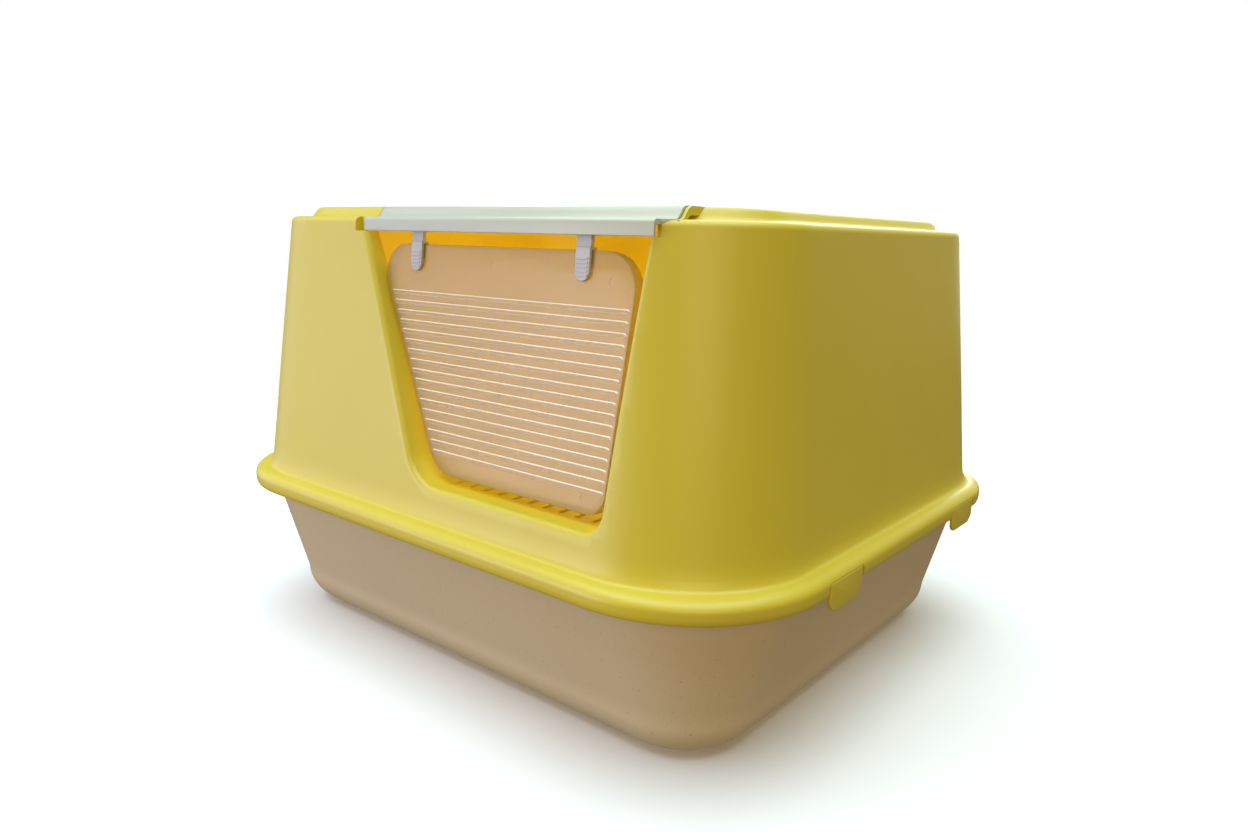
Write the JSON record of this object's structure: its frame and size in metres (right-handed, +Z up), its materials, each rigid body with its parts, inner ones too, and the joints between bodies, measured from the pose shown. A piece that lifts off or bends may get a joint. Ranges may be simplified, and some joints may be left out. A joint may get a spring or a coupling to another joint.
{
  "type": "hooded cat litter box",
  "caption": "Hooded cat litter box: tapered tray, lift-off hood with an open entry, lifting top lid, see-through swing door on hanging clips, and side latch tabs.",
  "frame": {"origin": "on the floor, under the middle of the box's outline", "axes": "+X to the right seen from the front, -Y towards the entry, +Z up"},
  "size_m": [0.56, 0.4868, 0.3554],
  "materials": {
    "tray_plastic": "satin warm beige, faint speckle",
    "hood_plastic": "satin yellow, fine texture",
    "lid_plastic": "semi-gloss pale mint white",
    "door_plastic": "frosted translucent",
    "clip_plastic": "satin white",
    "pin_steel": "satin"
  },
  "bodies": {
    "tray_body": {"tray": "tray_plastic"},
    "hood_body": {"hood": "hood_plastic", "lid_hinge_pin_left": "pin_steel", "lid_hinge_pin_right": "pin_steel"},
    "lid_body": {"lid": "lid_plastic", "door_hinge_rod": "pin_steel"},
    "door_body": {"door_panel": "door_plastic", "door_clip_left": "clip_plastic", "door_clip_right": "clip_plastic"},
    "tab_front_right": {"latch_tab_front_right": "hood_plastic"},
    "tab_rear_right": {"latch_tab_rear_right": "hood_plastic"},
    "tab_front_left": {"latch_tab_front_left": "hood_plastic"},
    "tab_rear_left": {"latch_tab_rear_left": "hood_plastic"}
  },
  "joints": [
    {"name": "hood_lift", "type": "slide", "parent": "tray_body", "child": "hood_body", "axis": [0, 0, 1], "range_m": [0, 0.25]},
    {"name": "lid_open", "type": "hinge", "parent": "hood_body", "child": "lid_body", "pos_m": [0.06, 0.03, 0.3516], "axis": [-1, 0, 0], "range_deg": [0, 100]},
    {"name": "door_swing", "type": "hinge", "parent": "lid_body", "child": "door_body", "pos_m": [0.0564, -0.2009, 0.3394], "axis": [1, 0, 0], "range_deg": [-40, 75]},
    {"name": "tab_flex_front_right", "type": "hinge", "parent": "hood_body", "child": "tab_front_right", "pos_m": [0.27875, -0.102, 0.12465], "axis": [0, -1, 0], "range_deg": [0, 8], "stiffness_Nm_per_rad": 0.6},
    {"name": "tab_flex_rear_right", "type": "hinge", "parent": "hood_body", "child": "tab_rear_right", "pos_m": [0.27875, 0.115, 0.12465], "axis": [0, -1, 0], "range_deg": [0, 8], "stiffness_Nm_per_rad": 0.6},
    {"name": "tab_flex_front_left", "type": "hinge", "parent": "hood_body", "child": "tab_front_left", "pos_m": [-0.27875, -0.102, 0.12465], "axis": [0, 1, 0], "range_deg": [0, 8], "stiffness_Nm_per_rad": 0.6},
    {"name": "tab_flex_rear_left", "type": "hinge", "parent": "hood_body", "child": "tab_rear_left", "pos_m": [-0.27875, 0.115, 0.12465], "axis": [0, 1, 0], "range_deg": [0, 8], "stiffness_Nm_per_rad": 0.6}
  ]
}
